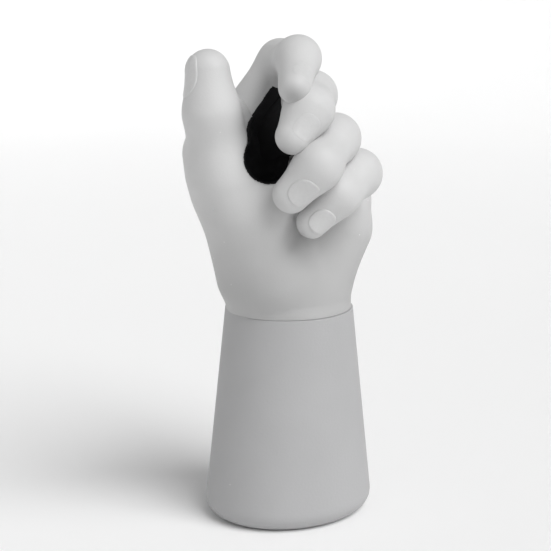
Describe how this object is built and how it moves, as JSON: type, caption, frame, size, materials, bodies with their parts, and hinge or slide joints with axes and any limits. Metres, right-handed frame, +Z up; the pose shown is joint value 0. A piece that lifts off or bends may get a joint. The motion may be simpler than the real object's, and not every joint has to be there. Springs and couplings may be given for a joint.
{
  "type": "prosthetic hand",
  "caption": "Left prosthetic hand in a part-closed grip on a hollow forearm socket, with sprung fingers, a posable thumb and a turning wrist.",
  "frame": {"origin": "middle of the flat base rim, on the forearm axis", "axes": "+Z up along the forearm, -Y out of the palm, -X to the thumb side"},
  "size_m": [0.1002, 0.0881, 0.2171],
  "materials": {
    "shell": "matt, evenly tinted light grey laminate",
    "skin": "matt light grey silicone, fine moulded grain",
    "nail": "satin light grey",
    "lining": "matt black elastomer",
    "black_rubber": "matt",
    "socket_laminate": "smooth laminate",
    "foam": "rigid foam",
    "nylon": "machined nylon",
    "bearing_plastic": "turned acetal",
    "aluminium": "satin anodised",
    "steel": "ground stainless steel"
  },
  "bodies": {
    "forearm": {"forearm_shell": "shell", "inner_socket": "socket_laminate", "socket_brim": "black_rubber", "socket_foam": "foam", "forearm_end_plate": "aluminium", "wrist_housing": "aluminium", "wrist_bush": "bearing_plastic", "wrist_housing_screws": "steel", "wrist_friction_screws": "steel", "wrist_thrust_washer": "bearing_plastic"},
    "hand": {"wrist_stud": "steel", "wrist_lock_nut": "steel", "wrist_washer": "bearing_plastic", "hand_base_plate": "aluminium", "base_plate_screws": "steel", "palm_frame": "aluminium", "palm_core": "foam", "palm_skin": "skin", "palm_grip_lining": "lining", "knuckle_shaft": "steel", "shaft_clips": "steel", "return_springs": "steel", "thumb_bracket": "aluminium", "thumb_bracket_screws": "steel", "thumb_pin": "steel"},
    "index_finger": {"index_core": "nylon", "index_skin": "skin", "index_bush": "bearing_plastic", "index_nail": "nail", "finger_link_rod": "steel"},
    "middle_finger": {"middle_core": "nylon", "middle_skin": "skin", "middle_bush": "bearing_plastic", "middle_nail": "nail"},
    "ring_finger": {"ring_core": "nylon", "ring_skin": "skin", "ring_bush": "bearing_plastic", "ring_nail": "nail"},
    "little_finger": {"little_core": "nylon", "little_skin": "skin", "little_bush": "bearing_plastic", "little_nail": "nail"},
    "thumb": {"thumb_core": "nylon", "thumb_skin": "skin", "thumb_bush": "bearing_plastic", "thumb_nail": "nail", "thumb_washers": "bearing_plastic"}
  },
  "joints": [
    {"name": "wrist_rotation", "type": "hinge", "parent": "forearm", "child": "hand", "pos_m": [0, 0, 0.096], "axis": [0, 0, 1], "range_deg": [-90, 90]},
    {"name": "index_knuckle", "type": "hinge", "parent": "hand", "child": "index_finger", "pos_m": [-0.003, 0.0015, 0.161], "axis": [-0.7874, 0.2258, 0.5736], "range_deg": [0, 32], "stiffness_Nm_per_rad": 0.05, "springref_deg": -28.65},
    {"name": "middle_knuckle", "type": "hinge", "parent": "hand", "child": "middle_finger", "pos_m": [-0.003, 0.0015, 0.161], "axis": [-0.7874, 0.2258, 0.5736], "range_deg": [0, 32], "stiffness_Nm_per_rad": 0.05, "springref_deg": -28.65},
    {"name": "ring_knuckle", "type": "hinge", "parent": "hand", "child": "ring_finger", "pos_m": [-0.003, 0.0015, 0.161], "axis": [-0.7874, 0.2258, 0.5736], "range_deg": [0, 32], "stiffness_Nm_per_rad": 0.05, "springref_deg": -28.65},
    {"name": "little_knuckle", "type": "hinge", "parent": "hand", "child": "little_finger", "pos_m": [-0.003, 0.0015, 0.161], "axis": [-0.7874, 0.2258, 0.5736], "range_deg": [0, 32], "stiffness_Nm_per_rad": 0.05, "springref_deg": -28.65},
    {"name": "thumb_hinge", "type": "hinge", "parent": "hand", "child": "thumb", "pos_m": [-0.043, -0.006, 0.158], "axis": [-0.3007, -0.9537, 0], "range_deg": [-8, 28]}
  ],
  "couplings": [
    {"joint": "middle_knuckle", "follows": "index_knuckle", "ratio": 1},
    {"joint": "ring_knuckle", "follows": "index_knuckle", "ratio": 1},
    {"joint": "little_knuckle", "follows": "index_knuckle", "ratio": 1}
  ]
}
